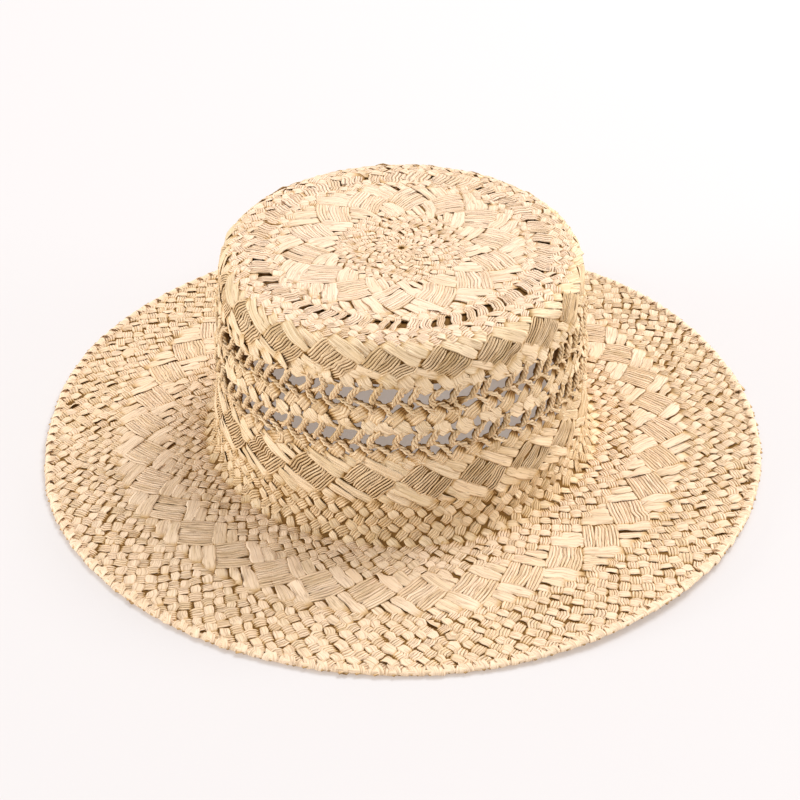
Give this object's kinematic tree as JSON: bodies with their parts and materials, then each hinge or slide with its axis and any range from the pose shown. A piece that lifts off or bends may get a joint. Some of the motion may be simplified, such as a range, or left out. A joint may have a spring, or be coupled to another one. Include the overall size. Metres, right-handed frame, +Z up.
{
  "type": "flat-top straw hat",
  "caption": "Boater-shaped hat of woven straw: flat tip, tapered crown with openwork rows, wide nearly flat brim and a turned edge; the head goes in from below.",
  "frame": {"origin": "on the crown's axis, in the plane that the brim stands on", "axes": "+Z up along the crown's axis from the brim to the tip, -Y towards the front, +X to the right in a view from the front"},
  "size_m": [0.3621, 0.3648, 0.108],
  "materials": {
    "straw_crown": "bleached flat straw, diagonal weave with openwork rows, matt with a faint silky sheen",
    "straw_brim": "bleached flat straw, diagonal weave with a band of long floats, matt with a faint silky sheen",
    "straw_edge": "straw ends turned back and plaited along the edge, matt"
  },
  "bodies": {
    "root": {"crown_tip": "straw_crown", "crown_wall": "straw_crown", "brim": "straw_brim", "brim_edge": "straw_edge"}
  },
  "joints": []
}
